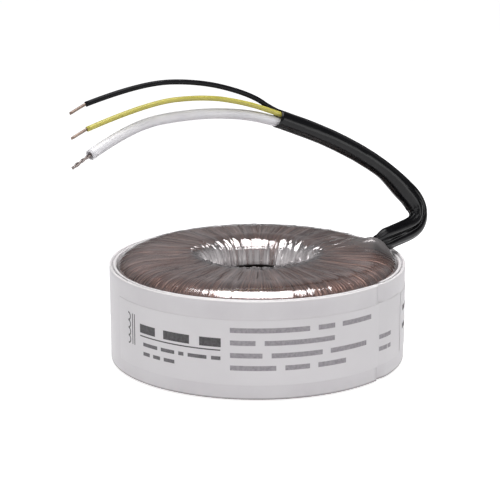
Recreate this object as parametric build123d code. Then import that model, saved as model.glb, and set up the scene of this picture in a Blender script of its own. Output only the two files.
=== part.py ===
from build123d import *
import math
import os

os.makedirs("parts", exist_ok=True)

# A toroidal autotransformer. Millimetres, +Z up. The toroid's axis is Z and the winding's flat
# underside rests on Z = 0. The rating label faces -Y and the leads leave on the +X side.

# Core of wound steel strip
core_inner_diameter = 60.0
core_outer_diameter = 106.0
core_height = 33.0

# Builds of the layers on the core: at the hole, at the rim and on the two faces
layer_fit = 0.1
wrap_build = 0.5
common_hole_build = 3.6
common_rim_build = 2.1
common_face_build = 2.2
inter_film_build = 0.3
series_hole_build = 3.3
series_rim_build = 1.8
series_face_build = 2.05
film_hole_build = 0.8
film_rim_build = 0.4
film_face_build = 0.4

# Corners of the wound layers: width along the face and height down the wall
common_top_rim = (6.0, 1.8)
common_top_hole = (4.0, 4.0)
common_low_hole = (4.0, 4.0)
common_low_rim = (3.0, 1.8)
series_top_rim = (11.6, 5.2)
series_top_hole = (5.2, 8.5)
series_low_hole = (7.5, 7.5)
series_low_rim = (7.5, 4.5)
film_top_rim = (12.0, 5.6)
film_top_hole = (6.0, 9.0)
film_low_hole = (9.0, 9.0)
film_low_rim = (9.0, 5.5)

# Number of flats in each corner's quarter: top rim, top hole, low hole, low rim
common_flat_counts = (1, 1, 1, 1)
series_flat_counts = (4, 4, 1, 1)
film_flat_counts = (4, 4, 2, 2)

# Overlapping laps of the outer film
lap_count = 36
lap_step = 0.3
throat_press = 0.2

# White strip wound twice round the rim
band_height = 40.0
band_rise = 1.0
strip_thickness = 1.0
strip_gap = 0.72
band_fit = 0.15
crossing_radius = 10.0
crossing_angle = -47.0
inner_end_turn = 12.0
outer_end_turn = 8.0

# Labels stuck on the strip
label_thickness = 0.12
label_fit = 0.05
rating_label_height = 26.3
rating_label_rise = 7.0
rating_label_angles = (-154.0, -20.3)
side_label_height = 25.0
side_label_rise = 7.5
side_label_angles = (-18.9, 12.7)

# Black sleeve over the three leads
sleeve_diameter = 7.8
sleeve_wall = 0.5
mouth_depth = 11.0
sleeve_fit = 0.05
hood_wall = 0.5
hood_grip = 4.5
hood_overlap = 2.0
hood_tail = 15.0
hood_tail_width = 4.0
hood_tail_drop = 4.0

# Insulated leads and their bare ends
thin_lead_diameter = 2.1
thick_lead_diameter = 4.3
thick_lead_bore = 2.9
wire_diameter = 0.95
wire_fit = 0.05
wire_seat = 6.0
black_bare_length = 8.0
yellow_bare_length = 8.5
white_bare_length = 10.5
white_wire_spacing = 1.1
black_lead_place = (1.1, -1.95)
yellow_lead_place = (-1.1, -1.95)
white_lead_place = (0.0, 1.17)
lead_straight = 3.0

# Share of its shorter run that each bend of a tube takes up
bend_share = 0.45

# Routes: the sleeve from the winding to its mouth, then each lead from the mouth to its tip
sleeve_route = [
    (51.2, 6.2, 47.2),
    (59.4, 13.3, 48.2),
    (67.8, 20.6, 49.3),
    (70.3, 24.3, 53.7),
    (69.4, 25.9, 59.7),
    (63.2, 23.4, 67.4),
    (50.5, 16.8, 79.0),
    (35.5, 8.0, 89.2),
    (21.5, 0.4, 96.7),
    (9.4, -5.5, 102.0),
]
black_route = [
    (-3.8, -11.0, 112.0),
    (-22.5, -21.5, 119.7),
    (-43.5, -32.3, 120.4),
    (-65.2, -43.5, 115.1),
]
yellow_route = [
    (-4.5, -13.6, 110.2),
    (-21.0, -21.8, 114.1),
    (-43.0, -34.4, 113.6),
    (-64.5, -47.0, 106.0),
]
white_route = [
    (-7.5, -13.0, 105.5),
    (-26.5, -22.2, 106.9),
    (-46.5, -33.8, 103.6),
    (-64.8, -46.5, 94.6),
]


def grown(ring, hole_build, rim_build, face_build):
    """The limits of the layer wound over a ring: hole radius, rim radius, low and high face."""
    hole, rim, low, high = ring
    return (hole - hole_build, rim + rim_build, low - face_build, high + face_build)


def cleared(ring):
    """The limits of a layer's inside, one running clearance outside the layer under it."""
    return grown(ring, layer_fit, layer_fit, layer_fit)


def quarter(wall, face, toward_wall, toward_face, corner):
    """Points of one rounded corner, an elliptical quarter from the wall to the face."""
    if corner is None:
        return [(wall, face)]
    (width, height), flats = corner
    centre_r = wall - toward_wall * width
    centre_z = face - toward_face * height
    points = []
    for step in range(flats + 1):
        turn = math.radians(90.0 * step / flats)
        r = centre_r + toward_wall * width * math.cos(turn)
        z = centre_z + toward_face * height * math.sin(turn)
        points.append((r, z))
    return points


def ring_points(ring, corners):
    """Section of a wound ring in the R-Z half plane, as one closed outline."""
    hole, rim, low, high = ring
    top_rim, top_hole, low_hole, low_rim = corners
    points = quarter(rim, high, 1, 1, top_rim)
    points += reversed(quarter(hole, high, -1, 1, top_hole))
    points += quarter(hole, low, -1, -1, low_hole)
    points += reversed(quarter(rim, low, 1, -1, low_rim))
    return points


def around(r, angle, z=0.0):
    """The point at a radius, an angle from +X and a height."""
    turn = math.radians(angle)
    return Vector(r * math.cos(turn), r * math.sin(turn), z)


def section(ring, corners, angle=0.0):
    """The face inside a ring's outline, standing in the half plane at an angle."""
    half_plane = Plane(origin=(0, 0, 0), x_dir=around(1, angle), z_dir=around(1, angle - 90))
    return half_plane * make_face(Polyline(*ring_points(ring, corners), close=True))


def turned_ring(ring, corners):
    """A ring that is round all the way."""
    return revolve(section(ring, corners), Axis.Z)


def wound_ring(ring, corners):
    """A ring that lies flat across each lap of the film, as wound layers do."""
    girdle = Polyline(*[around(ring[1], index * lap_pitch) for index in range(lap_count)], close=True)
    return sweep(section(ring, corners, lap_pitch / 2), path=girdle, transition=Transition.RIGHT)


# Limits of each layer, from the core outwards
lap_pitch = 360.0 / lap_count
square = (None, None, None, None)
common_sizes = (common_top_rim, common_top_hole, common_low_hole, common_low_rim)
series_sizes = (series_top_rim, series_top_hole, series_low_hole, series_low_rim)
film_sizes = (film_top_rim, film_top_hole, film_low_hole, film_low_rim)
common_corners = list(zip(common_sizes, common_flat_counts))
series_corners = list(zip(series_sizes, series_flat_counts))
film_corners = list(zip(film_sizes, film_flat_counts))
winding_faces = [common_face_build, series_face_build]
face_builds = [wrap_build, inter_film_build, film_face_build] + winding_faces
core_base = sum(face_builds) + len(face_builds) * layer_fit
core_ring = (core_inner_diameter / 2, core_outer_diameter / 2, core_base, core_base + core_height)
wrap_ring = grown(cleared(core_ring), wrap_build, wrap_build, wrap_build)
common_ring = grown(cleared(wrap_ring), common_hole_build, common_rim_build, common_face_build)
inter_ring = grown(cleared(common_ring), inter_film_build, inter_film_build, inter_film_build)
series_ring = grown(cleared(inter_ring), series_hole_build, series_rim_build, series_face_build)
film_ring = grown(cleared(series_ring), film_hole_build, film_rim_build, film_face_build)
hole_radius = film_ring[0]


def layer(outer_ring, outer_corners, inner_ring, inner_corners):
    """A wound layer: the ring to its outside less the ring under it."""
    return wound_ring(outer_ring, outer_corners) - wound_ring(cleared(inner_ring), inner_corners)


# The strip in plan: inner turn, crossing and outer turn
lap_corner_radius = (film_ring[1] + lap_step) / math.cos(math.radians(lap_pitch / 2))
inner_turn_radius = lap_corner_radius + band_fit + strip_thickness / 2
outer_turn_radius = inner_turn_radius + strip_gap + strip_thickness
crossing_side = inner_turn_radius - crossing_radius
crossing_run = math.sqrt((outer_turn_radius - crossing_radius) ** 2 - crossing_side**2)
crossing_turn = math.degrees(math.atan2(crossing_run, crossing_side))
band_radius = outer_turn_radius + strip_thickness / 2


def strip_side(offset):
    """One long edge of the strip in plan, at an offset from its middle."""
    inner_radius = inner_turn_radius + offset
    outer_radius = outer_turn_radius + offset
    outer_sweep = 360 + outer_end_turn - crossing_turn
    inner = CenterArc((0, 0), inner_radius, inner_end_turn, 360 - inner_end_turn)
    run = Line((inner_radius, 0), (inner_radius, crossing_run))
    bend = CenterArc((crossing_side, crossing_run), crossing_radius + offset, 0, crossing_turn)
    outer = CenterArc((0, 0), outer_radius, crossing_turn, outer_sweep)
    return [inner, run, bend, outer]


def outer_band():
    """The strip, wound twice round the rim, with its outer end lapped over the crossing."""
    near = strip_side(-strip_thickness / 2)
    far = strip_side(strip_thickness / 2)
    inner_end = Line(near[0] @ 0, far[0] @ 0)
    outer_end = Line(near[-1] @ 1, far[-1] @ 1)
    plan = make_face(near + far + [inner_end, outer_end])
    return Pos(0, 0, band_rise) * Rot(0, 0, crossing_angle) * extrude(plan, band_height)


def label(angles, height, rise):
    """A thin label curved round the outside of the strip between two angles."""
    start, end = angles
    inside = band_radius + label_fit
    near = CenterArc((0, 0), inside, start, end - start)
    far = CenterArc((0, 0), inside + label_thickness, start, end - start)
    plan = make_face([near, far, Line(near @ 0, far @ 0), Line(near @ 1, far @ 1)])
    return Pos(0, 0, band_rise + rise) * extrude(plan, height)


def tube_path(points):
    """Straight runs joined by tangent arcs, each arc as large as its two runs allow."""
    corners = [Vector(*point) for point in points]
    radii = []
    for before, corner, after in zip(corners, corners[1:], corners[2:]):
        shorter = min((corner - before).length, (after - corner).length)
        turn = (corner - before).get_angle(after - corner)
        radii.append(bend_share * shorter / math.tan(math.radians(turn / 2)))
    print("arc radii", [round(radius, 1) for radius in radii])
    return FilletPolyline(*corners, radius=radii)


def tube(points, diameter):
    """A round tube's outside along a route."""
    path = tube_path(points)
    start = Plane(origin=path @ 0, z_dir=path % 0)
    solid = sweep(start * Circle(diameter / 2), path=path)
    expected = path.length * math.pi * diameter**2 / 4
    print("tube length", round(path.length, 1), "volume share", round(solid.volume / expected, 4))
    return solid


def axis_plane(origin, start, end):
    """A plane at a point, facing along the line from start to end, with a level x axis."""
    along = (Vector(*end) - Vector(*start)).normalized()
    across = along.cross(Vector(0, 0, 1)).normalized()
    return Plane(origin=origin, x_dir=across, z_dir=along)


exit_plane = axis_plane(sleeve_route[0], sleeve_route[0], sleeve_route[1])
mouth_plane = axis_plane(sleeve_route[-1], sleeve_route[-2], sleeve_route[-1])


def exit_hood():
    """The film drawn up round the end of the sleeve, from a low mound to a snug collar."""
    tail = exit_plane.from_local_coords(Vector(0, hood_tail_drop, -hood_tail))
    collar_radius = sleeve_diameter / 2 + hood_wall
    reach = (exit_plane.origin - tail).length
    base = (Align.CENTER, Align.CENTER, Align.MIN)
    cone = Cone(hood_tail_width / 2, collar_radius, reach, align=base)
    mound = axis_plane(tail, tail, exit_plane.origin) * cone
    collar = extrude(exit_plane.offset(-hood_overlap) * Circle(collar_radius), hood_overlap + hood_grip)
    return mound + collar


def sleeve_seat(clearance):
    """The straight end of the sleeve, drawn out through the hood."""
    reach = hood_grip + sleeve_diameter
    return extrude(exit_plane * Circle(sleeve_diameter / 2 + clearance), reach)


def lap_outline(lift, angle):
    """The film's outline at a lap's edge, lifted off the winding on the rim and the top."""
    hole, rim, low, high = film_ring
    corner_share = math.cos(math.radians(lap_pitch / 2))
    ring = (hole - throat_press, rim + lift, low, high + lift)
    return [around(r / corner_share, angle, z) for r, z in ring_points(ring, film_corners)]


def film_lap(index):
    """One lap of film: lifted where it overlaps the last and running down to meet the next."""
    lifted = lap_outline(lap_step, index * lap_pitch)
    lying = lap_outline(0.0, (index + 1) * lap_pitch)
    faces = [Face(Wire.make_polygon(lifted)), Face(Wire.make_polygon(lying))]
    for point in range(len(lifted)):
        near, far = lifted[point - 1], lifted[point]
        far_lying, near_lying = lying[point], lying[point - 1]
        faces.append(Face(Wire.make_polygon([near, far, far_lying])))
        faces.append(Face(Wire.make_polygon([near, far_lying, near_lying])))
    return Solid(Shell(faces))


def outer_film():
    """The pleated film over the winding, with its throat, its laps and the hood for the leads."""
    laps = [film_lap(index) for index in range(lap_count)]
    body = laps[0].fuse(*laps[1:])
    body += exit_hood()
    body -= Pos(0, 0, film_ring[3] / 2) * Cylinder(hole_radius, 2 * film_ring[3])
    body -= wound_ring(cleared(series_ring), series_corners)
    return body - sleeve_seat(sleeve_fit)


def lead_sleeve():
    """The black sleeve, bored at its mouth for the leads and seated on the winding."""
    body = tube(sleeve_route, sleeve_diameter)
    body -= extrude(mouth_plane * Circle(sleeve_diameter / 2 - sleeve_wall), -mouth_depth)
    return body - wound_ring(cleared(series_ring), series_corners)


def lead_points(place, route):
    """A lead's route: out of the sleeve's mouth at its place in the bundle, then free."""
    seat = mouth_plane.from_local_coords(Vector(*place, -mouth_depth))
    lip = mouth_plane.from_local_coords(Vector(*place, lead_straight))
    return [seat, lip] + [Vector(*point) for point in route]


def tip_plane(points):
    """The plane of a lead's cut end, facing outwards."""
    before, end = points[-2], points[-1]
    return Plane(origin=end, z_dir=(end - before).normalized())


def lead(place, route, diameter, bore):
    """An insulated lead with a bore at its tip for the bare wire."""
    points = lead_points(place, route)
    body = tube(points, diameter)
    return body - extrude(tip_plane(points) * Circle(bore / 2), -wire_seat)


def bare_wire(place, route, bare_length, spots):
    """The bare end of a lead, seated in the bore of its insulation."""
    cut = tip_plane(lead_points(place, route))
    inner = cut.offset(-wire_seat)
    strands = [inner * Pos(x, 0) * Circle(wire_diameter / 2) for x in spots]
    return Compound(children=[extrude(strand, wire_seat + bare_length).solid() for strand in strands])


white_spots = (-white_wire_spacing / 2, white_wire_spacing / 2)
thin_bore = wire_diameter + 2 * wire_fit

parts = {
    "core": turned_ring(core_ring, square),
    "core_wrap": wound_ring(wrap_ring, square) - turned_ring(cleared(core_ring), square),
    "common_winding": layer(common_ring, common_corners, wrap_ring, square),
    "inter_winding_film": layer(inter_ring, common_corners, common_ring, common_corners),
    "series_winding": layer(series_ring, series_corners, inter_ring, common_corners),
    "outer_film": outer_film(),
    "outer_band": outer_band(),
    "rating_label": label(rating_label_angles, rating_label_height, rating_label_rise - band_rise),
    "side_label": label(side_label_angles, side_label_height, side_label_rise - band_rise),
    "lead_sleeve": lead_sleeve(),
    "black_lead": lead(black_lead_place, black_route, thin_lead_diameter, thin_bore),
    "yellow_lead": lead(yellow_lead_place, yellow_route, thin_lead_diameter, thin_bore),
    "white_lead": lead(white_lead_place, white_route, thick_lead_diameter, thick_lead_bore),
    "black_wire": bare_wire(black_lead_place, black_route, black_bare_length, [0]),
    "yellow_wire": bare_wire(yellow_lead_place, yellow_route, yellow_bare_length, [0]),
    "white_wires": bare_wire(white_lead_place, white_route, white_bare_length, white_spots),
}

for name, shape in parts.items():
    export_step(shape, f"parts/{name}.step")
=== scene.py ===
import math
import random

import bpy
from mathutils import Matrix, Vector, noise


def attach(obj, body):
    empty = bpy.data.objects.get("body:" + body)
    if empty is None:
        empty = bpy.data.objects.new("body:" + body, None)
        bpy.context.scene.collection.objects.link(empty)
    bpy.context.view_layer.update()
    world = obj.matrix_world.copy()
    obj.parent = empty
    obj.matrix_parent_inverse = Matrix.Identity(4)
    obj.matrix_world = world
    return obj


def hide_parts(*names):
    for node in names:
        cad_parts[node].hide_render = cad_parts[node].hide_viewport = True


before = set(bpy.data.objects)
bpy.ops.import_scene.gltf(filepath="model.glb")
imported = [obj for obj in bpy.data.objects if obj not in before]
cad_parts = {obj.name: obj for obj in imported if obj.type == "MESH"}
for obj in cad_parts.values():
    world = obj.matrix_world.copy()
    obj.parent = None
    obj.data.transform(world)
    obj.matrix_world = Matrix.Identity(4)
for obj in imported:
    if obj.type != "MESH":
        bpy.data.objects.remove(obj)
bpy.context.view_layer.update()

MM = 0.001
rng = random.Random(11)

# Sizes shared with the part, in millimetres and degrees. A corner is its width and its height,
# in the order top of the rim, top of the hole, foot of the hole, foot of the rim.
FILM_HOLE = 21.0
FILM_RIM = 58.6
FILM_HIGH = 44.9
FILM_CORNERS = ((12.0, 5.6), (6.0, 9.0), (9.0, 9.0), (9.0, 5.5))
FAR_FILM_LIP = (12.0, 13.0)
SERIES_HOLE = 21.9
SERIES_RIM = 58.1
SERIES_LOW = 0.5
SERIES_HIGH = 44.4
SERIES_CORNERS = ((11.6, 5.2), (5.2, 8.5), (7.5, 7.5), (7.5, 4.5))
FAR_SERIES_LIP = (11.2, 12.5)
LAP_COUNT = 36
LAP_STEP = 0.3
BAND_RADIUS = 61.995
BAND_LOW = 1.0
BAND_HIGH = 41.0
STRIP_THICKNESS = 1.0
INNER_TURN = 59.775
OUTER_TURN = 61.495
INNER_END_TURN = 12.0
OUTER_END_TURN = 8.0
CROSSING_ANGLE = -47.0
CROSSING_RADIUS = 10.0
CROSSING_SIDE = INNER_TURN - CROSSING_RADIUS
CROSSING_RUN = math.sqrt((OUTER_TURN - CROSSING_RADIUS) ** 2 - CROSSING_SIDE**2)
CROSSING_TURN = math.degrees(math.atan2(CROSSING_RUN, CROSSING_SIDE))
RATING_LABEL_ANGLES = (-154.0, -20.3)
RATING_LABEL_HEIGHTS = (7.0, 33.3)
SIDE_LABEL_ANGLES = (-18.9, 12.7)
SIDE_LABEL_HEIGHTS = (7.5, 32.5)
SLEEVE_DIAMETER = 7.8
THIN_LEAD = 2.1
THICK_LEAD = 4.3

# Control points of the cords' routes, in metres, chosen after the photo's outlines
SLEEVE_ROUTE = [
    (0.0502, 0.0053, 0.0470),
    (0.0594, 0.0133, 0.0488),
    (0.0678, 0.0206, 0.0506),
    (0.0700, 0.0243, 0.0546),
    (0.0692, 0.0259, 0.0600),
    (0.0632, 0.0234, 0.0674),
    (0.0505, 0.0168, 0.0790),
    (0.0355, 0.0080, 0.0892),
    (0.0215, 0.0004, 0.0967),
    (0.0081, -0.0062, 0.1026),
]
BLACK_ROUTE = [
    (0.01876, 0.00029, 0.09979),
    (0.00705, -0.00542, 0.1053),
    (-0.0022, -0.0101, 0.1129),
    (-0.0225, -0.0215, 0.1202),
    (-0.0455, -0.0334, 0.1213),
    (-0.0659, -0.0439, 0.1147),
]
YELLOW_ROUTE = [
    (0.01972, -0.00169, 0.09979),
    (0.00802, -0.00740, 0.10491),
    (-0.0045, -0.0136, 0.1102),
    (-0.0210, -0.0218, 0.1141),
    (-0.0430, -0.0344, 0.1136),
    (-0.0653, -0.0475, 0.1056),
]
WHITE_ROUTE = [
    (0.01821, -0.00120, 0.09688),
    (0.00651, -0.00691, 0.10201),
    (-0.0075, -0.0130, 0.1058),
    (-0.0265, -0.0222, 0.1072),
    (-0.0492, -0.0345, 0.1048),
    (-0.0641, -0.0505, 0.0960),
]
ROUTE_STEPS = 24


def around(radius, angle, z=0.0):
    """A point in metres at a radius and height in millimetres and an angle from +X."""
    turn = math.radians(angle)
    return Vector((radius * math.cos(turn), radius * math.sin(turn), z)) * MM


def ring_direction(angle):
    turn = math.radians(angle)
    return Vector((math.cos(turn), math.sin(turn), 0))


def smoothstep(low, high, value):
    """From 0 to 1 between two values, level at both ends."""
    share = min(max((value - low) / (high - low), 0.0), 1.0)
    return share * share * (3 - 2 * share)


def bell(value, width):
    """1 at zero, and falling away on both sides over a width."""
    return math.exp(-((value / width) ** 2))


def between(first, second, share):
    return tuple(a + (b - a) * share for a, b in zip(first, second))


def fbm(point, octaves=3):
    """Noise in several sizes, each half as strong as the one before."""
    value, size = 0.0, 1.0
    for _ in range(octaves):
        value += noise.noise(point) * size
        point = point * 2.03
        size *= 0.5
    return value


def add_mesh(name, vertices, faces, smooth=True):
    mesh = bpy.data.meshes.new(name)
    mesh.from_pydata([tuple(v) for v in vertices], [], faces)
    mesh.validate()
    if smooth:
        mesh.polygons.foreach_set("use_smooth", [True] * len(mesh.polygons))
    piece = bpy.data.objects.new(name, mesh)
    bpy.context.collection.objects.link(piece)
    return piece


def grid_faces(rows, columns, close_rows=False, close_columns=False):
    """Quads between the points of a grid that is stored row by row."""
    faces = []
    for row in range(rows if close_rows else rows - 1):
        for column in range(columns if close_columns else columns - 1):
            next_row = (row + 1) % rows
            next_column = (column + 1) % columns
            faces.append(
                (
                    row * columns + column,
                    row * columns + next_column,
                    next_row * columns + next_column,
                    next_row * columns + column,
                )
            )
    return faces


def shifted(faces, first):
    """The same faces, on points that are stored from a later place on."""
    return [tuple(corner + first for corner in face) for face in faces]


def quarter(wall, face, toward_wall, toward_face, size, steps):
    """Points of one rounded corner, from the wall to the face, with their outward directions."""
    width, height = size
    points = []
    for step in range(steps + 1):
        turn = math.pi / 2 * step / steps
        out_r, out_z = toward_wall * math.cos(turn), toward_face * math.sin(turn)
        r = wall - toward_wall * width + width * out_r
        z = face - toward_face * height + height * out_z
        normal = Vector((out_r / width, out_z / height)).normalized()
        points.append((r, z, normal.x, normal.y))
    return points


def ring_outline(hole, rim, low, high, corners, steps, walls):
    """A wound ring's section as a closed list of points with outward directions."""
    top_rim, top_hole, low_hole, low_rim = corners
    rim_up, top_in, hole_down, bottom_out = walls
    quarters = [
        quarter(rim, high, 1, 1, top_rim, steps[0]),
        quarter(hole, high, -1, 1, top_hole, steps[1])[::-1],
        quarter(hole, low, -1, -1, low_hole, steps[2]),
        quarter(rim, low, 1, -1, low_rim, steps[3])[::-1],
    ]
    outline = []
    for index, points in enumerate(quarters):
        outline += points
        after = quarters[(index + 1) % 4][0]
        count = (top_in, hole_down, bottom_out, rim_up)[index]
        for step in range(1, count + 1):
            outline.append(between(points[-1], after, step / (count + 1)))
    return outline


def ring_sections(ring, corners, far_lip, steps, walls):
    """Pairs of a wound ring's outline points, at the front and at the back of the ring."""
    far_corners = (corners[0], far_lip, *corners[2:])
    front = ring_outline(*ring, corners, steps, walls)
    back = ring_outline(*ring, far_corners, steps, walls)
    return list(zip(front, back))


def far_share(angle):
    """From 0 at the front of the ring to 1 at the back, where the hole's lip is rounder."""
    return smoothstep(-0.7, 0.9, math.sin(math.radians(angle)))


def line_points(route):
    """The points that a cord follows: a NURBS curve with the route's points as control points."""
    data = bpy.data.curves.new("route", "CURVE")
    data.dimensions = "3D"
    data.resolution_u = ROUTE_STEPS
    spline = data.splines.new("NURBS")
    spline.points.add(len(route) - 1)
    for place, point in zip(spline.points, route):
        place.co = (*point, 1.0)
    spline.order_u = 3
    spline.use_endpoint_u = True
    carrier = bpy.data.objects.new("carrier", data)
    mesh = bpy.data.meshes.new_from_object(carrier)
    line = [v.co.copy() for v in mesh.vertices]
    bpy.data.objects.remove(carrier)
    bpy.data.meshes.remove(mesh)
    return line


def frames_along(line):
    """For each point of a line: the point, two sides that don't twist, and the run so far."""
    frames, run = [], 0.0
    side = Vector((0, 0, 1))
    for index, point in enumerate(line):
        before = line[max(index - 1, 0)]
        after = line[min(index + 1, len(line) - 1)]
        along = (after - before).normalized()
        side = (side - along * side.dot(along)).normalized()
        if index:
            run += (point - line[index - 1]).length
        frames.append((point, side, along.cross(side), run))
    return frames


def tube_rings(frames, columns, radius_at):
    """Points round each place of a line, at a radius that follows the run and the angle."""
    vertices = []
    for point, side, up, run in frames:
        for column in range(columns):
            turn = math.tau * column / columns
            outward = side * math.cos(turn) + up * math.sin(turn)
            vertices.append(point + outward * radius_at(run, turn))
    return vertices


def tube_mesh(name, line, radius_at, columns, bore, bore_depth):
    """A tube round a line, solid up to its far end, which has a bore."""
    frames = frames_along(line)
    rows, total = len(frames), frames[-1][3]
    inner = [f for f in frames if total - f[3] <= bore_depth][::-1]
    vertices = tube_rings(frames, columns, radius_at)
    first = len(vertices)
    vertices += tube_rings(inner, columns, lambda run, turn: bore / 2 * MM)
    faces = grid_faces(rows, columns, close_columns=True)
    faces.append(tuple(range(columns))[::-1])
    end = (rows - 1) * columns
    for column in range(columns):
        near = (column + 1) % columns
        faces.append((end + column, end + near, first + near, first + column))
    faces += shifted(grid_faces(len(inner), columns, close_columns=True), first)
    last = first + (len(inner) - 1) * columns
    faces.append(tuple(last + c for c in range(columns)))
    return add_mesh(name, vertices, faces)


# Nodes of the materials and of the world. Each helper gives back the output to use.


def feed(tree, socket, value):
    """Gives an input a plain value, or links it to another node's output."""
    if isinstance(value, bpy.types.NodeSocket):
        tree.links.new(value, socket)
    else:
        socket.default_value = value


def math_node(tree, operation, *given):
    added = tree.nodes.new("ShaderNodeMath")
    added.operation = operation
    for socket, value in zip(added.inputs, given):
        feed(tree, socket, value)
    return added.outputs[0]


def vector_node(tree, operation, *given):
    added = tree.nodes.new("ShaderNodeVectorMath")
    added.operation = operation
    for socket, value in zip(added.inputs, given):
        feed(tree, socket, value)
    return added.outputs["Value" if operation in ("LENGTH", "DISTANCE") else "Vector"]


def add_up(tree, *values):
    total = values[0]
    for value in values[1:]:
        total = math_node(tree, "ADD", total, value)
    return total


def map_range(tree, source, before, after):
    """Carries a value from one range to another, held at both ends."""
    added = tree.nodes.new("ShaderNodeMapRange")
    for name, value in zip(("From Min", "From Max", "To Min", "To Max"), (*before, *after)):
        added.inputs[name].default_value = value
    feed(tree, added.inputs["Value"], source)
    return added.outputs["Result"]


def mix_node(tree, share, first, second):
    added = tree.nodes.new("ShaderNodeMixRGB")
    for name, value in (("Fac", share), ("Color1", first), ("Color2", second)):
        feed(tree, added.inputs[name], value)
    return added.outputs["Color"]


def noise_node(tree, scale, detail=3.0, rough=0.5, vector=None):
    added = tree.nodes.new("ShaderNodeTexNoise")
    if vector is None:
        vector = tree.nodes.new("ShaderNodeTexCoord").outputs["Object"]
    for name, value in (("Scale", scale), ("Detail", detail), ("Roughness", rough), ("Vector", vector)):
        feed(tree, added.inputs[name], value)
    return added.outputs[0]


def ramp_node(tree, source, stops):
    added = tree.nodes.new("ShaderNodeValToRGB")
    ramp = added.color_ramp
    while len(ramp.elements) < len(stops):
        ramp.elements.new(0.5)
    for element, (place, color) in zip(ramp.elements, stops):
        element.position = place
        element.color = (*color, 1.0)
    feed(tree, added.inputs["Fac"], source)
    return added.outputs["Color"]


def separate(tree, vector):
    added = tree.nodes.new("ShaderNodeSeparateXYZ")
    feed(tree, added.inputs[0], vector)
    return added.outputs


def plan_place(tree):
    """The shaded point, its place in plan, and its distance from the toroid's axis."""
    place = tree.nodes.new("ShaderNodeTexCoord").outputs["Object"]
    flat = vector_node(tree, "MULTIPLY", place, (1, 1, 0))
    return place, flat, vector_node(tree, "LENGTH", flat)


def radial_vector(tree, turns, radius_scale):
    """A vector whose noise runs in streaks from the hole to the rim."""
    _, flat, radius = plan_place(tree)
    unit = vector_node(tree, "NORMALIZE", flat)
    grown = vector_node(tree, "MULTIPLY", unit, (turns, turns, turns))
    lifted = tree.nodes.new("ShaderNodeCombineXYZ")
    feed(tree, lifted.inputs["Z"], math_node(tree, "MULTIPLY", radius, radius_scale))
    return vector_node(tree, "ADD", grown, lifted.outputs[0])


def seen_rays(tree, *kinds):
    """1 for the light paths of the named kinds, and 0 for the others."""
    rays = tree.nodes.new("ShaderNodeLightPath").outputs
    share = rays[kinds[0]]
    for kind in kinds[1:]:
        share = math_node(tree, "MAXIMUM", share, rays[kind])
    return share


# Materials

GRAIN_DEPTH = 0.0004
FILM_TONES = [
    (0.32, (0.58, 0.545, 0.555)),
    (0.52, (0.81, 0.77, 0.78)),
    (0.68, (0.99, 0.95, 0.96)),
]
# Painted black shade for the film deep in the hole
FILM_HOLE_SHADE = (0.012, 0.009, 0.009, 1)
# Painted shade for the film near the sleeve's start, which holds down the lamp's reflection there
FILM_SLEEVE_SHADE = (0.30, 0.28, 0.28, 1)
COPPER_TONES = [
    (0.3, (0.075, 0.038, 0.031)),
    (0.5, (0.27, 0.14, 0.112)),
    (0.72, (0.68, 0.425, 0.34)),
]
STRIP_TONES = [(0.3, (0.67, 0.645, 0.665)), (0.7, (0.72, 0.70, 0.715))]
STRIP_CRUMPLED = (0.30, 0.29, 0.28, 1)
# Painted highlight on the strip's top edge, which faces the overhead lamp
STRIP_TOP_HIGHLIGHT = (0.92, 0.89, 0.90, 1)
# Painted shade at the strip's foot, standing for the shadow under its lower edge
STRIP_FOOT_SHADE = (0.16, 0.13, 0.13, 1)

# Zones of the film, in metres: from the axis, up from the base, from the middle plane, and from
# the sleeve's start
MIRROR_RADII = (0.0215, 0.026)
THROAT_RADII = (0.0215, 0.027)
WALL_RADII = (0.023, 0.029)
LIP_RADII = (0.0245, 0.034)
# Where black shade is painted on the film deep in the hole
HOLE_SHADE_RADII = (0.0235, 0.025)
HOLE_SHADE_TOP = (0.0333, 0.0338)
HOLE_SHADE_FOOT = (0.012, 0.017)
FLANK_REACH = (0.009, 0.018)
GATHERED_REACH = (0.003, 0.015)
CRUMPLED_REACH = (0.006, 0.024)
# Reach of the painted shade near the sleeve's start
SLEEVE_SHADE_REACH = (0.008, 0.026)

# Zones of the strip, in metres from the axis and up from the base
CRUMPLED_RADII = (0.0608, 0.0610)
CRUMPLED_HEIGHTS = (0.0385, 0.0392)
# Height of the painted highlight along the strip's top edge
TOP_HIGHLIGHT_HEIGHTS = (0.0405, 0.0409)
# Height of the painted shade along the strip's foot
FOOT_SHADE_HEIGHTS = (0.0011, 0.0019)


def new_material(name, **sockets):
    """A Principled material with plain numbers set on its own sockets."""
    made = bpy.data.materials.new(name)
    made.use_nodes = True
    shader = shader_of(made.node_tree)
    for socket, value in sockets.items():
        shader.inputs[socket.replace("_", " ")].default_value = value
    return made


def shader_of(tree):
    return tree.nodes["Principled BSDF"]


def add_bump(tree, source, strength, distance):
    added = tree.nodes.new("ShaderNodeBump")
    for name, value in (("Strength", strength), ("Distance", distance), ("Height", source)):
        feed(tree, added.inputs[name], value)
    feed(tree, shader_of(tree).inputs["Normal"], added.outputs["Normal"])


def mottled(name, dark, light, scale, rough, bump=0.1, **sockets):
    """A material whose colour wanders between two close tones, with a fine uneven surface."""
    made = new_material(name, Roughness=rough, **sockets)
    tree = made.node_tree
    tone = ramp_node(tree, noise_node(tree, scale, 4.0), [(0.3, dark), (0.7, light)])
    feed(tree, shader_of(tree).inputs["Base Color"], tone)
    if bump:
        add_bump(tree, noise_node(tree, scale * 4, 4.0), bump, GRAIN_DEPTH)
    return made


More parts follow.
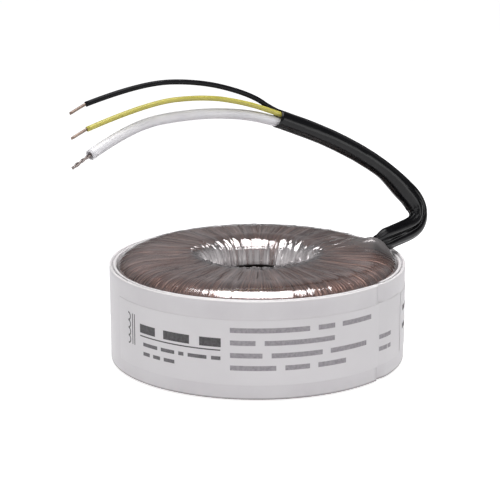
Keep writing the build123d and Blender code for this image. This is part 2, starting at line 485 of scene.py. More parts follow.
def film_painted_hole_shade(tree, radius, height):
    """From 0 to 1 deep inside the hole, where shade is painted black on the film, so that only a black
    slit is seen.
    """
    below = map_range(tree, height, HOLE_SHADE_TOP, (1.0, 0.0))
    above = map_range(tree, height, HOLE_SHADE_FOOT, (0.0, 1.0))
    inside = map_range(tree, radius, HOLE_SHADE_RADII, (1.0, 0.0))
    return math_node(tree, "MULTIPLY", math_node(tree, "MULTIPLY", below, above), inside)


def film_mirror(tree, radius, gap):
    """How metallic the film looks: less on the hole's wall and where it is gathered."""
    mirror = map_range(tree, radius, MIRROR_RADII, (0.35, 0.95))
    dull = map_range(tree, gap, GATHERED_REACH, (0.35, 0.0))
    return math_node(tree, "SUBTRACT", mirror, dull)


def film_color(tree, gap, painted_hole_shade):
    """Streaked, darkened by painted shade where the film is drawn up to the sleeve to hold down the
    lamp's reflection there, and painted black with shade deep in the hole.
    """
    streaks = noise_node(tree, 1.0, 5.0, 0.62, radial_vector(tree, 15, 34))
    # Painted shade where the film is drawn up to the sleeve, darkening the lamp's reflection there
    sleeve_shade_share = map_range(tree, gap, SLEEVE_SHADE_REACH, (0.75, 0.0))
    sleeve_shaded = mix_node(tree, sleeve_shade_share, ramp_node(tree, streaks, FILM_TONES), FILM_SLEEVE_SHADE)
    # Painted black shade deep in the hole
    return mix_node(tree, painted_hole_shade, sleeve_shaded, FILM_HOLE_SHADE)


def film_cover(tree, radius, gap, sideways, painted_hole_shade):
    """How much the film hides of the copper: more at a low angle, on the hole's wall and lip,
    in patches, and where the film is gathered."""
    facing = tree.nodes.new("ShaderNodeLayerWeight")
    facing.inputs["Blend"].default_value = 0.45
    veil = map_range(tree, facing.outputs["Facing"], (0.0, 1.0), (0.36, 0.72))
    lip = map_range(tree, radius, LIP_RADII, (0.16, 0.0))
    flank = map_range(tree, math_node(tree, "ABSOLUTE", sideways), FLANK_REACH, (0.0, 1.0))
    wall = map_range(tree, radius, WALL_RADII, (0.36, 0.0))
    bright = math_node(tree, "MULTIPLY", flank, wall)
    throat = map_range(tree, radius, THROAT_RADII, (0.20, 0.0))
    pleats = noise_node(tree, 1.0, 3.0, 0.6, radial_vector(tree, 12, 10))
    haze = math_node(tree, "MULTIPLY", throat, map_range(tree, pleats, (0.38, 0.62), (-0.7, 2.5)))
    gathered = map_range(tree, gap, GATHERED_REACH, (0.30, 0.0))
    patches = noise_node(tree, 1.0, 3.0, 0.5, radial_vector(tree, 9, 22))
    uneven = map_range(tree, patches, (0.3, 0.7), (-0.10, 0.10))
    cover = add_up(tree, veil, lip, bright, haze, gathered, uneven)
    # The film hides the copper wholly where the hole's black shade is painted
    return math_node(tree, "MAXIMUM", cover, painted_hole_shade)


def film_material():
    """Clear film: it mirrors its surroundings and lets the copper show through."""
    made = new_material("clear_film")
    tree = made.node_tree
    place, _, radius = plan_place(tree)
    parts = separate(tree, place)
    gap = vector_node(tree, "DISTANCE", place, Vector(SLEEVE_ROUTE[0]))
    painted_hole_shade = film_painted_hole_shade(tree, radius, parts["Z"])
    for name, value in (
        ("Metallic", film_mirror(tree, radius, gap)),
        ("Roughness", map_range(tree, gap, CRUMPLED_REACH, (0.34, 0.09))),
        ("Base Color", film_color(tree, gap, painted_hole_shade)),
        ("Alpha", film_cover(tree, radius, gap, parts["X"], painted_hole_shade)),
    ):
        feed(tree, shader_of(tree).inputs[name], value)
    fine = noise_node(tree, 1.0, 4.0, 0.6, radial_vector(tree, 26, 45))
    add_bump(tree, fine, 0.4, 0.0005)
    return made


def copper_material():
    """Enamelled copper, streaked along its turns."""
    made = new_material("enamelled_copper", Metallic=0.45, Roughness=0.3)
    tree = made.node_tree
    streaks = noise_node(tree, 1.0, 4.0, 0.65, radial_vector(tree, 70, 40))
    feed(tree, shader_of(tree).inputs["Base Color"], ramp_node(tree, streaks, COPPER_TONES))
    return made


def strip_material():
    """White strip, mottled grey on the crumpled edge between its turns, with a painted highlight on its
    top edge and painted shade at its foot.
    """
    made = new_material("strip_white", Roughness=0.42)
    tree = made.node_tree
    place, _, radius = plan_place(tree)
    height = separate(tree, place)["Z"]
    inner = map_range(tree, radius, CRUMPLED_RADII, (1.0, 0.0))
    high = map_range(tree, height, CRUMPLED_HEIGHTS, (0.0, 1.0))
    spots = map_range(tree, noise_node(tree, 420), (0.42, 0.6), (0.0, 0.6))
    zone = math_node(tree, "MULTIPLY", inner, high)
    color = ramp_node(tree, noise_node(tree, 60, 4.0), STRIP_TONES)
    color = mix_node(tree, math_node(tree, "MULTIPLY", zone, spots), color, STRIP_CRUMPLED)
    # Painted highlight: the strip's top edge is whitened where the overhead lamp falls on it
    color = mix_node(tree, map_range(tree, height, TOP_HIGHLIGHT_HEIGHTS, (0.0, 1.0)), color, STRIP_TOP_HIGHLIGHT)
    # Painted shade along the strip's foot, standing for the shadow under its lower edge
    color = mix_node(tree, map_range(tree, height, FOOT_SHADE_HEIGHTS, (1.0, 0.0)), color, STRIP_FOOT_SHADE)
    feed(tree, shader_of(tree).inputs["Base Color"], color)
    add_bump(tree, noise_node(tree, 240, 4.0), 0.06, GRAIN_DEPTH)
    return made


strip_white = strip_material()
label_white = mottled("label_white", (0.72, 0.70, 0.715), (0.755, 0.735, 0.75), 40, 0.5, 0.04)
print_dark = mottled("print_dark", (0.045, 0.042, 0.045), (0.09, 0.085, 0.09), 900, 0.6, 0)
print_mid = mottled("print_mid", (0.10, 0.095, 0.10), (0.17, 0.16, 0.17), 900, 0.6, 0)
print_grey = mottled("print_grey", (0.27, 0.25, 0.27), (0.38, 0.36, 0.38), 900, 0.6, 0)
sleeve_black = mottled(
    "sleeve_black", (0.003, 0.003, 0.004), (0.006, 0.006, 0.007), 160, 0.2, 0.12, Specular_IOR_Level=0.25
)
lead_black = mottled(
    "lead_black", (0.005, 0.005, 0.006), (0.010, 0.010, 0.012), 150, 0.35, 0.05, Specular_IOR_Level=0.12
)
lead_yellow = mottled("lead_yellow", (0.49, 0.44, 0.08), (0.57, 0.51, 0.11), 120, 0.3, 0.04)
lead_white = mottled("lead_white", (0.74, 0.73, 0.76), (0.82, 0.81, 0.83), 120, 0.3, 0.04)
bare_copper = mottled("bare_copper", (0.20, 0.145, 0.12), (0.36, 0.28, 0.235), 500, 0.4, Metallic=0.7)
tinned = mottled("tinned_wire", (0.20, 0.165, 0.155), (0.38, 0.34, 0.33), 400, 0.36, Metallic=0.8)
steel = mottled("core_steel", (0.3, 0.3, 0.32), (0.42, 0.42, 0.44), 90, 0.4, Metallic=0.9)
tape = mottled("core_tape", (0.66, 0.63, 0.5), (0.72, 0.69, 0.56), 60, 0.5)
inner_film = mottled("inner_film", (0.6, 0.58, 0.54), (0.66, 0.64, 0.6), 60, 0.3)
clear_film = film_material()
copper = copper_material()


def finish_piece(piece, made, slot, *nodes):
    """Gives a piece its material, and lets it stand for the solids it replaces. The slot is not used."""
    piece.data.materials.clear()
    piece.data.materials.append(made)
    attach(piece, "root")
    if nodes:
        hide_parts(*nodes)
    return piece


# Film: pleated laps over the winding, drawn up to the end of the sleeve. Sizes in millimetres.

# Where the sleeve leaves the film, and its direction there
EXIT = Vector((51.2, 6.2, 47.2))
EXIT_ALONG = (Vector(SLEEVE_ROUTE[1]) - Vector(SLEEVE_ROUTE[0])).normalized()

# Points round the ring, round each corner of its section, and on each wall between corners
FILM_COLUMNS = 30 * LAP_COUNT
FILM_STEPS = (13, 15, 5, 4)
FILM_WALLS = (3, 12, 9, 2)

LAP_SKEW = 7.0
LAP_WANDER = 2.0
PLEAT_DEPTH = 0.62
FILM_SINK = 0.45
BEHIND_STRIP_HEIGHT = 36.0
BEHIND_STRIP_RADIUS = 45.0
PLAIN_FOOT = 8.0
HOOD_HEIGHT = 38.0

# The hood runs along the sleeve from its start to its end, and its widths are those on the far
# and on the near side
HOOD_START = -26.0
HOOD_END = 7.0
HOOD_LIFT = 4.2
HOOD_LAG = 5.5
HOOD_WIDTHS = (17.0, 19.0)
SNUG_LIFT = 0.9
SNUG_WIDTHS = (4.0, 9.0)

lap_gain = [rng.uniform(0.6, 1.3) for _ in range(LAP_COUNT)]
for _ in range(LAP_COUNT):
    # Keeps the draws for the turns of wire in their places
    rng.random()


def hole_share(r):
    """From 1 in the hole to 0 on the flat of the top."""
    return 1 - smoothstep(23, 34, r)


def calm_share(angle):
    """From 0 to 1 where the film lies smooth on the far side of the hole."""
    return math.exp(-(((angle - 90) / 17) ** 4))


def right_share(angle):
    """From 0 to 1 where the film is crumpled, on the right of the hole."""
    return smoothstep(0.35, 0.85, math.cos(math.radians(angle - 44)))


def left_share(angle):
    """From 0 to 1 where the pleats are fine, on the left of the hole."""
    return smoothstep(0.2, 0.9, math.cos(math.radians(angle - 150)))


def lap_lift(angle, r):
    """How far one lap stands off the lap beneath, in the hole and on the top."""
    inward = hole_share(r)
    wander = fbm(ring_direction(angle) * 2.6 + Vector((0, 0, r / 14)), 2)
    skewed = angle + LAP_SKEW * inward + LAP_WANDER * wander
    turns = (skewed % 360) / 360 * LAP_COUNT
    index = int(turns) % LAP_COUNT
    share = turns - int(turns)
    gain = lap_gain[index]
    edge = LAP_STEP * gain * min(1 - share, share * 9)
    edge *= 1 - 0.4 * inward - 0.55 * smoothstep(46, 54, r)
    crest = bell(share - 0.4, 0.17 - 0.07 * left_share(angle)) + 0.5 * bell(share - 0.8, 0.08)
    depth = PLEAT_DEPTH * (1 - 0.9 * calm_share(angle)) * (1 - 0.6 * right_share(angle))
    return edge + depth * inward * crest * gain


def wrinkle(angle, r, z):
    """Fine radial wrinkles of the film, stronger in the hole and at the rim."""
    way = ring_direction(angle)
    inward = hole_share(r)
    rim = smoothstep(50, 57.5, r)
    right = inward * right_share(angle)
    fine = fbm(way * 17 + Vector((0, 0, (r + 0.6 * z) / 26)), 3)
    creases = abs(fbm(way * 13 + Vector((5, 2, (r + z) / 18)), 2))
    crumple = fbm((way * r + Vector((0, 0, z))) / 4.5, 3)
    facets = abs(fbm((way * r + Vector((3, 0, z))) / 5.0, 2))
    calm = 1 - 0.85 * calm_share(angle)
    total = 0.05 * fine + calm * inward * (0.25 * creases + 0.2 * crumple)
    return total + 1.7 * right * (1 - calm_share(angle)) * facets + 0.08 * rim * crumple


def hood_lift(x, y):
    """How far the film is drawn up towards the end of the sleeve. It reaches less far along the
    sleeve on the far side, and it falls off towards the rim on the near side."""
    flat_along = Vector((EXIT_ALONG.x, EXIT_ALONG.y)).normalized()
    offset = Vector((x - EXIT.x, y - EXIT.y))
    along = offset.dot(flat_along)
    across = offset.x * -flat_along.y + offset.y * flat_along.x
    if along < HOOD_START or along > HOOD_END:
        return 0.0
    side = 0 if across > 0 else 1
    lag = HOOD_LAG * smoothstep(-4.0, 3.0, across)
    rise = smoothstep(HOOD_START, -1.0 - 0.5 * lag, along)
    rise *= 1 - smoothstep(0.5 - lag, HOOD_END - lag, along)
    snug = smoothstep(-9, -0.5 - lag, along) * (1 - smoothstep(0.3 - lag, 2.2 - lag, along))
    lift = HOOD_LIFT * rise * bell(across, HOOD_WIDTHS[side])
    lift += SNUG_LIFT * snug * bell(across, SNUG_WIDTHS[side])
    near_side = 1 - smoothstep(-7, 0, across)
    lift *= 1 - 0.75 * near_side * smoothstep(47, 56, math.hypot(x, y))
    spoke = math.atan2(across, 6 - along)
    gathers = math.sin(spoke * 26 + 1.3 * math.sin(along * 0.5)) + 0.6 * math.sin(spoke * 47)
    crinkle = fbm(Vector((x, y, 0.5)) / 1.9, 3)
    near = bell(offset.length, 8)
    return lift * (1 + 0.015 * gathers) + near * (0.2 * crinkle + 0.06 * gathers)


def film_surface():
    """The film's outside, with no pleats where the strip and the base hide it."""
    ring = (FILM_HOLE, FILM_RIM, 0.0, FILM_HIGH)
    sections = ring_sections(ring, FILM_CORNERS, FAR_FILM_LIP, FILM_STEPS, FILM_WALLS)
    vertices = []
    for front_point, back_point in sections:
        for column in range(FILM_COLUMNS):
            angle = 360 * column / FILM_COLUMNS
            r, z, out_r, out_z = between(front_point, back_point, far_share(angle))
            behind_strip = z < BEHIND_STRIP_HEIGHT and r > BEHIND_STRIP_RADIUS
            lift = 0.0
            if not behind_strip and z >= PLAIN_FOOT:
                lift = lap_lift(angle, r) + wrinkle(angle, r, z)
                lift -= FILM_SINK * (1 - smoothstep(21.5, 24, r))
            place = around(r + out_r * lift, angle, z + out_z * lift)
            if z > HOOD_HEIGHT:
                place.z += hood_lift(place.x / MM, place.y / MM) * MM
            vertices.append(place)
    faces = grid_faces(len(sections), FILM_COLUMNS, close_rows=True, close_columns=True)
    return add_mesh("film_laps", vertices, faces)


# Winding: turns of wire side by side under the film

TURN_COUNT = 240
TURN_COLUMNS = 6
TURN_DEPTH = 0.62
WINDING_STEPS = (11, 9, 3, 2)
WINDING_WALLS = (2, 4, 5, 1)
turn_shift = [rng.uniform(-0.25, 0.25) for _ in range(TURN_COUNT)]
turn_height = [rng.uniform(-0.35, 0.0) for _ in range(TURN_COUNT)]


def winding_surface():
    columns = TURN_COLUMNS * TURN_COUNT
    ring = (SERIES_HOLE, SERIES_RIM, SERIES_LOW, SERIES_HIGH)
    sections = ring_sections(ring, SERIES_CORNERS, FAR_SERIES_LIP, WINDING_STEPS, WINDING_WALLS)
    vertices = []
    for front_point, back_point in sections:
        for column in range(columns):
            turn = column // TURN_COLUMNS
            share = (column % TURN_COLUMNS) / TURN_COLUMNS
            back = far_share(360 * column / columns)
            r, z, out_r, out_z = between(front_point, back_point, back)
            inward = 1 - smoothstep(24, 44, r)
            wire = TURN_DEPTH * (1 - 0.5 * inward)
            height = math.sqrt(max(0.0, 1 - (2 * share - 1) ** 2)) - 1
            lift = wire * height + turn_height[turn] * (1 - abs(2 * share - 1))
            sway = 0.5 * noise.noise(Vector((turn * 0.37, r / 9, z / 9))) + turn_shift[turn]
            angle = 360 * (column / TURN_COLUMNS + sway * smoothstep(30, 50, r)) / TURN_COUNT
            vertices.append(around(r + out_r * lift, angle, z + out_z * lift))
    faces = grid_faces(len(sections), columns, close_rows=True, close_columns=True)
    return add_mesh("winding_turns", vertices, faces)


# White strip, wound twice round the rim

INNER_STEPS = 174
BEND_STEPS = 9
ARC_STEPS = 8
OUTER_STEPS = 179
STRIP_SOFT = 0.22
CRUMPLED_DROP = 0.75


def strip_plan():
    """The strip's middle line in plan with its outward direction, from the inner end on."""
    points = []
    for step in range(INNER_STEPS + 1):
        angle = INNER_END_TURN + (360 - INNER_END_TURN) * step / INNER_STEPS
        points.append((ring_direction(angle) * INNER_TURN, ring_direction(angle)))
    for step in range(1, BEND_STEPS):
        place = Vector((INNER_TURN, CROSSING_RUN * step / BEND_STEPS, 0))
        points.append((place, Vector((1, 0, 0))))
    centre = Vector((CROSSING_SIDE, CROSSING_RUN, 0))
    for step in range(ARC_STEPS + 1):
        way = ring_direction(CROSSING_TURN * step / ARC_STEPS)
        points.append((centre + way * CROSSING_RADIUS, way))
    for step in range(1, OUTER_STEPS + 1):
        angle = CROSSING_TURN + (360 + OUTER_END_TURN - CROSSING_TURN) * step / OUTER_STEPS
        points.append((ring_direction(angle) * OUTER_TURN, ring_direction(angle)))
    spin = Matrix.Rotation(math.radians(CROSSING_ANGLE), 3, "Z")
    return [(spin @ point, spin @ way) for point, way in points]


def strip_section(fill, edge, mottle):
    """The strip's section, out from its middle line and up. A lower, crumpled edge fills the
    gap on its inside."""
    half = STRIP_THICKNESS / 2
    soft = STRIP_SOFT
    tip = soft * 0.3
    inside = -half - fill
    return [
        (inside, BAND_LOW + soft),
        (inside, BAND_LOW + 12),
        (inside, edge - 1.5),
        (inside, edge - 0.1),
        (-half - fill * 0.5, edge + 0.18 * mottle * min(fill, 1)),
        (-half, edge + 0.05),
        (-half, BAND_HIGH - soft),
        (-half + tip, BAND_HIGH - tip),
        (-half + soft, BAND_HIGH),
        (half - soft, BAND_HIGH),
        (half - tip, BAND_HIGH - tip),
        (half, BAND_HIGH - soft),
        (half, BAND_HIGH - 2),
        (half, BAND_LOW + 12),
        (half, BAND_LOW + soft),
        (half - tip, BAND_LOW + tip),
        (half - soft, BAND_LOW),
        (-half + soft, BAND_LOW),
    ]


def strip_surface():
    """The strip, whose two turns are closed by a lower, crumpled edge between them."""
    half = STRIP_THICKNESS / 2
    plan = strip_plan()
    vertices = []
    for index, (point, way) in enumerate(plan):
        sway = 0.10 * noise.noise(Vector((index * 0.11, 1.5, 0.3)))
        spun = math.degrees(math.atan2(point.y, point.x)) - CROSSING_ANGLE
        lapped = index > INNER_STEPS and spun % 360 > INNER_END_TURN
        reach = INNER_TURN + half + 0.05 if lapped else FILM_RIM + 0.35
        fill = max(point.length - half - reach, 0.02)
        mottle = noise.noise(Vector((index * 0.9, 3.3, 0.1)))
        mottle += noise.noise(Vector((index * 0.31, 8.3, 0.1)))
        section = strip_section(fill, BAND_HIGH - CRUMPLED_DROP - 0.45 * mottle, mottle)
        for out, z in section:
            high = smoothstep(BAND_HIGH - 4, BAND_HIGH, z)
            low = 1 - smoothstep(BAND_LOW, BAND_LOW + 3, z)
            rise = sway * high + 0.05 * noise.noise(Vector((index * 0.5, 7.1, z))) * high
            place = point + way * (out - 0.05 * low)
            vertices.append(Vector((place.x, place.y, z + rise)) * MM)
    columns = len(section)
    faces = grid_faces(len(plan), columns, close_columns=True)
    faces.append(tuple(range(columns)))
    faces.append(tuple((len(plan) - 1) * columns + c for c in range(columns))[::-1])
    return add_mesh("rim_strip", vertices, faces)


# Labels and their print

LABEL_BACK = BAND_RADIUS + 0.05
LABEL_FACE = BAND_RADIUS + 0.17
LABEL_STEP = 0.5
LABEL_RISES = 10
SEAM_DEPTH = 1.1
SEAM_SHARE = 0.75
PRINT_FACE = LABEL_FACE + 0.03
BAR_STEP = 1.5
ARC_PIECES = 10
BUMP_SIZE = 1.6
BUMP_THICK = 0.7


def seam_sag(angle):
    """How far a label sinks beside the strip's outer end, where the strip is still crossing."""
    turn = angle - CROSSING_ANGLE
    if turn < OUTER_END_TURN or turn > CROSSING_TURN:
        return 0.0
    depth = SEAM_DEPTH * (CROSSING_TURN - turn) / (CROSSING_TURN - OUTER_END_TURN)
    return SEAM_SHARE * depth * smoothstep(0.0, 0.9, turn - OUTER_END_TURN)


def curved_label(name, angles, heights, replaced):
    """A thin sheet curved round the strip, with a slightly uneven face."""
    steps = round((angles[1] - angles[0]) / LABEL_STEP)
    vertices = []
    for face_radius in (LABEL_FACE, LABEL_BACK):
        for row in range(LABEL_RISES + 1):
            z = heights[0] + (heights[1] - heights[0]) * row / LABEL_RISES
            for step in range(steps + 1):
                angle = angles[0] + (angles[1] - angles[0]) * step / steps
                sway = 0.03 * noise.noise(Vector((angle * 0.2, z * 0.3, 2.0)))
                radius = face_radius - seam_sag(angle) + (sway if face_radius == LABEL_FACE else 0)
                vertices.append(around(radius, angle, z))
    columns = steps + 1
    front = grid_faces(LABEL_RISES + 1, columns)
    offset = (LABEL_RISES + 1) * columns
    back = shifted([face[::-1] for face in front], offset)
    border = list(range(columns))
    border += [row * columns + columns - 1 for row in range(1, LABEL_RISES + 1)]
    border += [LABEL_RISES * columns + column for column in range(columns - 2, -1, -1)]
    border += [row * columns for row in range(LABEL_RISES - 1, 0, -1)]
    sides = []
    for index, first in enumerate(border):
        second = border[(index + 1) % len(border)]
        sides.append((second, first, first + offset, second + offset))
    piece = add_mesh(name, vertices, front + back + sides, smooth=False)
    return finish_piece(piece, label_white, "label_paper", replaced)


def bar_on_band(bars, angle, z, width, height):
    """Adds a bar of print: its left end's angle from the front, its low edge, and its size."""
    spread = math.degrees(width / PRINT_FACE)
    steps = max(1, round(spread / BAR_STEP))
    for step in range(steps):
        first = angle - 90 + spread * step / steps
        second = angle - 90 + spread * (step + 1) / steps
        near, far = PRINT_FACE - seam_sag(first), PRINT_FACE - seam_sag(second)
        bars.append(
            [
                around(near, first, z),
                around(far, second, z),
                around(far, second, z + height),
                around(near, first, z + height),
            ]
        )


def arc_on_band(bars, angle, z, size, thick):
    """Adds a half ring of print that opens to the left."""
    for step in range(ARC_PIECES):
        corners = []
        for out, share in ((-0.5, 0), (0.5, 0), (0.5, 1), (-0.5, 1)):
            turn = math.pi * ((step + share) / ARC_PIECES - 0.5)
            reach = size + out * thick
            spread = math.degrees(reach * math.cos(turn) / BAND_RADIUS)
            corners.append(around(PRINT_FACE, angle - 90 + spread, z + reach * math.sin(turn)))
        bars.append(corners)


def coil_bars(bars, angle, z):
    """A plain coil diagram: bumps beside two core lines."""
    for bump in range(4):
        arc_on_band(bars, angle, z + (2 * bump + 1) * BUMP_SIZE, BUMP_SIZE, BUMP_THICK)
    for core in (2.9, 4.3):
        bar_on_band(bars, angle + math.degrees(core / BAND_RADIUS), z, 0.6, 8 * BUMP_SIZE)


def word_row(bars, angle, z, height, words, letter):
    """A row of plain bars, one for each word, given by its count of letters."""
    for length in words:
        bar_on_band(bars, angle, z, (length - 0.3) * letter, height)
        angle += math.degrees((length + 1) * letter / BAND_RADIUS)


def print_piece(name, bars, made):
    vertices, faces = [], []
    for bar in bars:
        first = len(vertices)
        vertices += bar
        faces.append(tuple(range(first, first + 4)))
    return finish_piece(add_mesh(name, vertices, faces, smooth=False), made, "label_paper")


# Places of the print: angles in degrees from the front, heights and letters in millimetres
COIL_ANGLE = -56.5
HEADING_ANGLE = -48.8
SMALL_ANGLE = -47.0
LIST_ANGLE = -9.8
LIST_END_ANGLE = 52.8
SIDE_ANGLE = 74.5
LIST_TOP = 28.3
LIST_STEP = 5.1
LIST_WORDS = ((12, 3, 6), (4, 11), (5, 8, 7), (7, 4, 5))

dark_bars, small_bars, grey_bars, side_bars = [], [], [], []
coil_bars(small_bars, COIL_ANGLE, 16.0)
word_row(dark_bars, HEADING_ANGLE, 22.2, 3.6, (3, 4, 3), 3.3)
bar_on_band(dark_bars, HEADING_ANGLE, 20.7, 38.5, 0.5)
for height, words in ((16.9, (6, 5, 2, 6, 3)), (13.0, (3, 3, 4))):
    word_row(small_bars, SMALL_ANGLE, height, 1.5, words, 1.42)
for row, words in enumerate(LIST_WORDS):
    word_row(grey_bars, LIST_ANGLE, LIST_TOP - row * LIST_STEP, 2.0, words, 2.7)
for height in (18.1, 13.0):
    word_row(grey_bars, LIST_END_ANGLE, height, 1.8, (4,), 2.3)
for height, words in ((24.0, (3, 5)), (16.2, (4, 5))):
    word_row(side_bars, SIDE_ANGLE, height, 2.2, words, 1.95)


# Sleeve, leads and bare wires

# Widths in millimetres
SLEEVE_WALL = 0.55
THIN_BORE = 1.3
THICK_BORE = 3.3

# Lengths in metres
SLEEVE_BORE_DEPTH = 0.012
LEAD_BORE_DEPTH = 0.006
WIRE_INSIDE = 0.005
TWIST_PITCH = 0.006

SLEEVE_COLUMNS = 96
LEAD_COLUMNS = 24
LEAD_UNEVENNESS = 0.02
WIRE_RINGS = 40
WIRE_COLUMNS = 12

# Small creases of the sleeve: angle round it, drift of that angle per millimetre, and depth
SMALL_CREASES = (
    (1.3, 0.02, 0.07),
    (1.65, -0.015, 0.09),
    (0.1, 0.012, 0.06),
    (5.9, 0.0, 0.07),
    (2.4, 0.01, 0.06),
)


def crease(turn, middle, width):
    """The depth, from 0 to 1, of a groove along the tube at an angle round it."""
    away = (turn - middle + math.pi) % math.tau - math.pi
    return bell(away, width)


def sleeve_radius(run, turn):
    """The sleeve is flattened and creased from the film to its kink, and then round."""
    mm = run / MM
    start = 1 - smoothstep(26, 50, mm)
    flat = 0.28 * start * math.cos(2 * turn)
    folds = 0.22 * crease(turn, 0.95 + 0.012 * mm, 0.16) + 0.16 * crease(turn, 2.0 - 0.01 * mm, 0.13)
    folds += 0.12 * crease(turn, 0.35, 0.1) + 0.14 * crease(turn, 4.4, 0.2)
    for middle, drift, deep in SMALL_CREASES:
        folds += deep * crease(turn, middle + drift * mm, 0.075)
    folds *= start
    gathered = 0.30 * (1 - smoothstep(0.5, 6.0, mm))
    crushed = smoothstep(26, 34, mm) * (1 - smoothstep(42, 60, mm))
    swell = 0.44 * crushed * ((1 + math.cos(turn + 0.7)) / 2) ** 2
    later = 0.05 * (1 - start) * crease(turn, 1.2 + 0.01 * mm, 0.3)
    soft = 0.02 * noise.noise(Vector((mm / 6, math.cos(turn) * 1.5, math.sin(turn) * 1.5)))
    return SLEEVE_DIAMETER / 2 * (1 + flat - folds + swell - later + soft) * (1 - gathered) * MM


def lead_radius(diameter, seed):
    """A function for the slightly uneven radius of a lead."""

    def radius(run, turn):
        wander = noise.noise(Vector((run / MM / 7 + seed, math.cos(turn), math.sin(turn))))
        return diameter / 2 * (1 + LEAD_UNEVENNESS * wander) * MM

    return radius


def wire_piece(name, line, reach, diameter, spread, droop, made, slot, replaced):
    """Bare wire beyond a lead's end: one wire, or two twisted together."""
    end = line[-1]
    along = (line[-1] - line[-2]).normalized()
    side = along.cross(Vector((0, 0, 1))).normalized()
    up = side.cross(along)
    vertices, faces = [], []
    for strand in range(2 if spread else 1):
        first = len(vertices)
        for ring in range(WIRE_RINGS + 1):
            share = ring / WIRE_RINGS
            out = -WIRE_INSIDE + (reach + WIRE_INSIDE) * share
            twist = math.tau * out / TWIST_PITCH + math.pi * strand if spread else 0.0
            cut_end = smoothstep(0.0, 1.0, (share - 0.93) / 0.07)
            bow = 0.25 * MM * math.sin(3 * share + strand)
            middle = end + along * out + side * bow - up * droop * max(out, 0.0)
            middle += (side * math.cos(twist) + up * math.sin(twist)) * spread / 2
            for column in range(WIRE_COLUMNS):
                turn = math.tau * column / WIRE_COLUMNS
                squeeze = 1 - 0.35 * cut_end * abs(math.cos(turn))
                radius = diameter / 2 * squeeze
                vertices.append(middle + (side * math.cos(turn) + up * math.sin(turn)) * radius)
        faces += shifted(grid_faces(WIRE_RINGS + 1, WIRE_COLUMNS, close_columns=True), first)
        faces.append(tuple(first + c for c in range(WIRE_COLUMNS))[::-1])
        faces.append(tuple(first + WIRE_RINGS * WIRE_COLUMNS + c for c in range(WIRE_COLUMNS)))
    return finish_piece(add_mesh(name, vertices, faces), made, slot, replaced)


def add_sleeve():
    line = line_points(SLEEVE_ROUTE)
    bore = SLEEVE_DIAMETER - 2 * SLEEVE_WALL
    sleeve = tube_mesh("leads_sleeve", line, sleeve_radius, SLEEVE_COLUMNS, bore, SLEEVE_BORE_DEPTH)
    finish_piece(sleeve, sleeve_black, "black_sleeving", "lead_sleeve")


def add_lead(color, route, diameter, bore, made, wire):
    """A lead from inside the sleeve's mouth to its stripped end, with its bare wire."""
    name = f"{color}_tube"
    line = line_points(route)
    tube = tube_mesh(name, line, lead_radius(diameter, len(name)), LEAD_COLUMNS, bore, LEAD_BORE_DEPTH)
    finish_piece(tube, made, f"{color}_sleeving", f"{color}_lead")
    tip_piece = wire_piece(line=line, **wire)


# Bare ends, in metres. A droop is a share of the wire's reach.
COPPER_END = dict(reach=0.0072, diameter=0.0012, spread=0.0, made=bare_copper, slot="bare_copper")
BLACK_END = dict(COPPER_END, name="black_tip", droop=0.17, replaced="black_wire")
YELLOW_END = dict(COPPER_END, name="yellow_tip", droop=0.13, replaced="yellow_wire")
WHITE_END = dict(
    name="white_tips",
    reach=0.0098,
    diameter=0.00095,
    spread=0.00062,
    droop=0.0,
    made=tinned,
    slot="tinned_wire",
    replaced="white_wires",
)

finish_piece(film_surface(), clear_film, "outer_film", "outer_film")
finish_piece(winding_surface(), copper, "copper", "series_winding")
finish_piece(strip_surface(), strip_white, "white_strip", "outer_band")

# The hidden pieces are the part's own solids, and only get a material
for cad_node, made in (
    ("core", steel),
    ("core_wrap", tape),
    ("common_winding", copper),
    ("inter_winding_film", inner_film),
):
    bpy.data.objects[cad_node].data.materials.clear()
    bpy.data.objects[cad_node].data.materials.append(made)

curved_label("rating_sticker", RATING_LABEL_ANGLES, RATING_LABEL_HEIGHTS, "rating_label")
curved_label("side_sticker", SIDE_LABEL_ANGLES, SIDE_LABEL_HEIGHTS, "side_label")
print_piece("label_marks", dark_bars, print_dark)
print_piece("label_small_marks", small_bars, print_mid)
print_piece("label_lines", grey_bars, print_grey)
print_piece("side_label_lines", side_bars, print_dark)

add_sleeve()
add_lead("black", BLACK_ROUTE, THIN_LEAD, THIN_BORE, lead_black, BLACK_END)
add_lead("yellow", YELLOW_ROUTE, THIN_LEAD, THIN_BORE, lead_yellow, YELLOW_END)
add_lead("white", WHITE_ROUTE, THICK_LEAD, THICK_BORE, lead_white, WHITE_END)


# Stage: floor, world, lamps and camera, in metres

FLOOR_REACH = 30
FLOOR_GLOW = 0.85
CAMERA_PLACE = (0, -0.690317, 0.224499)
CAMERA_DIP = 14.536
CAMERA_LENS = 122.44
CAMERA_SHIFT = -0.0144


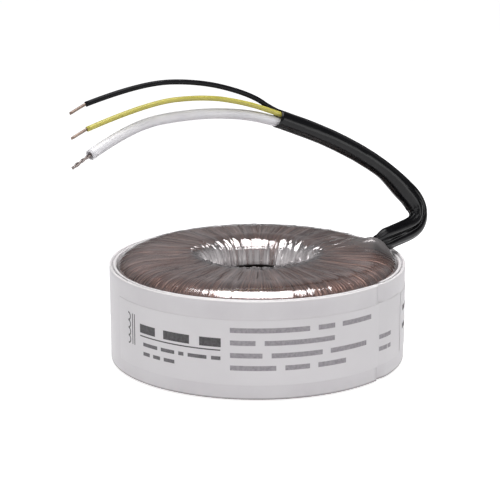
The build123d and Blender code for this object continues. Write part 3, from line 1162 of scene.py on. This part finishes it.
def add_floor():
    """A pale floor that glows only in what the camera, glass and mirrors see of it."""
    mesh = bpy.data.meshes.new("floor")
    signs = ((-1, -1), (1, -1), (1, 1), (-1, 1))
    corners = [(x * FLOOR_REACH, y * FLOOR_REACH, 0) for x, y in signs]
    mesh.from_pydata(corners, [], [(0, 1, 2, 3)])
    floor = bpy.data.objects.new("floor", mesh)
    bpy.context.collection.objects.link(floor)
    paint = new_material("floor_paint", Base_Color=(0.82, 0.82, 0.83, 1), Roughness=0.9)
    tree = paint.node_tree
    seen = seen_rays(tree, "Is Camera Ray", "Is Transmission Ray", "Is Glossy Ray")
    glow = tree.nodes.new("ShaderNodeEmission")
    feed(tree, glow.inputs["Strength"], math_node(tree, "MULTIPLY", seen, FLOOR_GLOW))
    both = tree.nodes.new("ShaderNodeAddShader")
    feed(tree, both.inputs[0], shader_of(tree).outputs[0])
    feed(tree, both.inputs[1], glow.outputs[0])
    feed(tree, tree.nodes["Material Output"].inputs["Surface"], both.outputs[0])
    mesh.materials.append(paint)


def set_world():
    """A dim studio, darker high up, at the sides and near the horizon, which the camera sees
    as white."""
    world = bpy.context.scene.world or bpy.data.worlds.new("studio")
    bpy.context.scene.world = world
    world.use_nodes = True
    tree = world.node_tree
    backdrop = tree.nodes["Background"]
    backdrop.inputs["Color"].default_value = (1.0, 0.99, 1.0, 1)
    way = separate(tree, tree.nodes.new("ShaderNodeTexCoord").outputs["Generated"])
    by_height = map_range(tree, way["Z"], (0.25, 0.7), (0.30, 0.12))
    by_horizon = map_range(tree, way["Z"], (0.215, 0.262), (0.2, 1.05))
    by_side = map_range(tree, math_node(tree, "ABSOLUTE", way["X"]), (0.30, 0.62), (1.0, 0.6))
    by_front = map_range(tree, way["Y"], (0.2, -0.9), (0.0, 0.15))
    level = math_node(tree, "MULTIPLY", math_node(tree, "MULTIPLY", by_height, by_side), by_horizon)
    studio = math_node(tree, "ADD", level, by_front)
    seen = seen_rays(tree, "Is Camera Ray", "Is Transmission Ray")
    feed(tree, backdrop.inputs["Strength"], math_node(tree, "MAXIMUM", studio, seen))


def softbox(name, place, aim, width, height, radiance):
    """An area lamp of a stated brightness that faces a point."""
    lamp = bpy.data.lights.new(name, "AREA")
    lamp.shape = "RECTANGLE"
    lamp.size, lamp.size_y = width, height
    lamp.energy = radiance * math.pi * width * height
    light = bpy.data.objects.new(name, lamp)
    light.location = place
    light.rotation_euler = (Vector(aim) - Vector(place)).to_track_quat("-Z", "Y").to_euler()
    bpy.context.collection.objects.link(light)


def set_camera():
    """The photo's point of view, fitted to the strip's rim and base."""
    camera_data = bpy.data.cameras.new("camera")
    camera_data.sensor_width = 36
    camera_data.lens = CAMERA_LENS
    camera_data.shift_x = CAMERA_SHIFT
    camera_data.clip_start = 0.05
    camera_data.clip_end = 100
    camera = bpy.data.objects.new("camera", camera_data)
    camera.location = CAMERA_PLACE
    camera.rotation_euler = (math.radians(90 - CAMERA_DIP), 0, 0)
    bpy.context.collection.objects.link(camera)
    bpy.context.scene.camera = camera


add_floor()
set_world()
softbox("overhead", place=(0, -0.145, 0.62), aim=(0, -0.145, 0), width=0.50, height=0.61, radiance=4.2)
softbox("left_fill", place=(-0.95, -0.45, 0.12), aim=(0, 0, 0.02), width=0.6, height=0.4, radiance=2.6)
softbox("right_fill", place=(0.95, -0.45, 0.12), aim=(0, 0, 0.02), width=0.6, height=0.4, radiance=2.6)
set_camera()
bpy.context.scene.view_settings.view_transform = "Standard"
